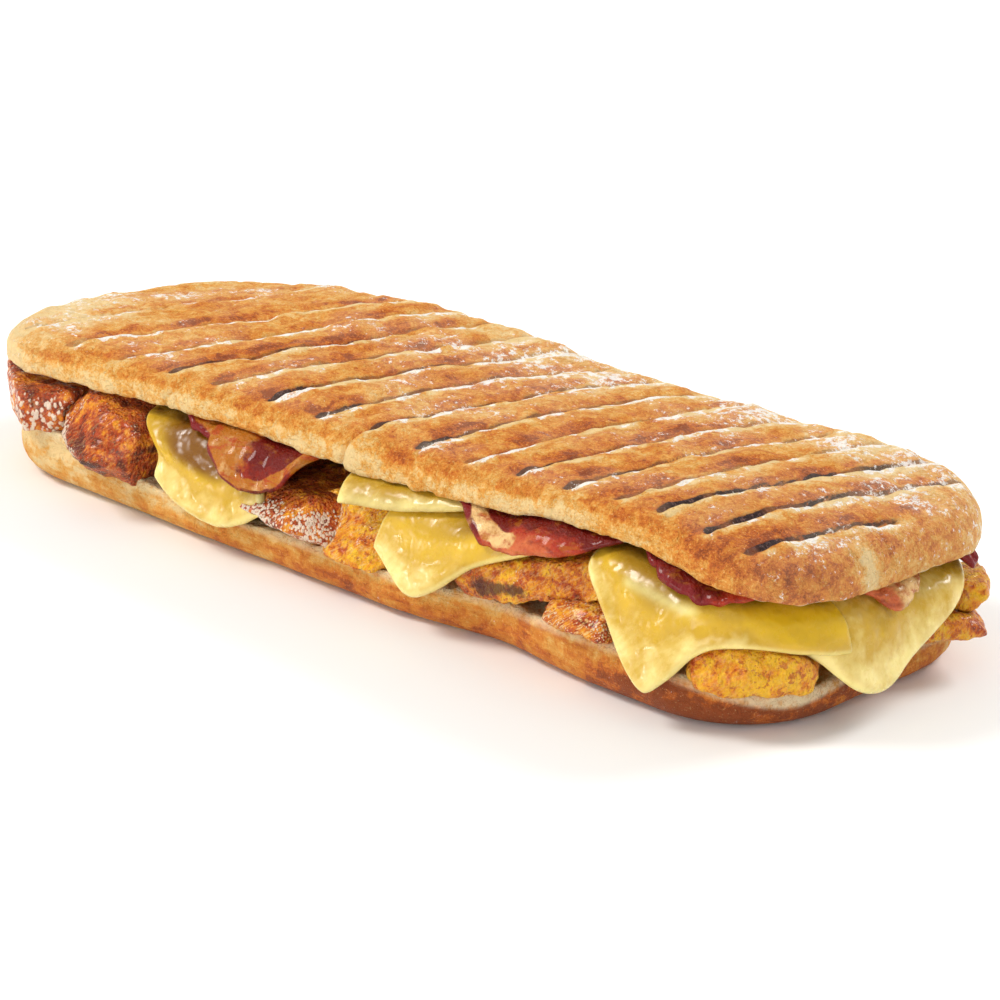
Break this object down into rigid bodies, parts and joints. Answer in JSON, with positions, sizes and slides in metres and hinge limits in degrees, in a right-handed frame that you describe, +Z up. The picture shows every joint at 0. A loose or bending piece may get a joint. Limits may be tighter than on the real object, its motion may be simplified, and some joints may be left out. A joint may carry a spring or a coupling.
{
  "type": "panini",
  "caption": "Pressed panini of long flat grilled bread halves, filled with chicken cuts, draped melted cheese slices and bacon, lying flat.",
  "frame": {"origin": "on the surface it rests on, under the middle of the lower half's flat underside", "axes": "+X along the roll, +Z up, -Y towards the long side where the cheese hangs lowest"},
  "size_m": [0.2475, 0.1005, 0.0442],
  "materials": {
    "bun": "toasted flat bread, pale at the sides, with dark grill marks and flour",
    "cheese": "glossy half-molten pale yellow cheese",
    "bacon": "glossy dark red-brown cured meat with pale fat",
    "chicken": "seasoned roast meat, orange-brown with darker seared patches"
  },
  "bodies": {
    "root": {"bacon_back_1": "bacon", "bacon_back_2": "bacon", "bacon_back_3": "bacon", "bacon_corner": "bacon", "bacon_end": "bacon", "bacon_front_1": "bacon", "bacon_front_2": "bacon", "bacon_front_3": "bacon", "bun_bottom": "bun", "bun_top": "bun", "cheese_end": "cheese", "cheese_flap": "cheese", "cheese_fold": "cheese", "cheese_left": "cheese", "cheese_right": "cheese", "chicken_back_strip": "chicken", "chicken_behind_cheese": "chicken", "chicken_end": "chicken", "chicken_end_low": "chicken", "chicken_end_top": "chicken", "chicken_front_1": "chicken", "chicken_front_2": "chicken", "chicken_front_3": "chicken", "chicken_left_back": "chicken", "chicken_left_corner": "chicken", "chicken_left_end": "chicken", "chicken_right": "chicken", "chicken_right_back": "chicken", "chicken_right_corner": "chicken", "chicken_strip": "chicken", "chicken_under_flap": "chicken", "chicken_wedge": "chicken"}
  },
  "joints": []
}
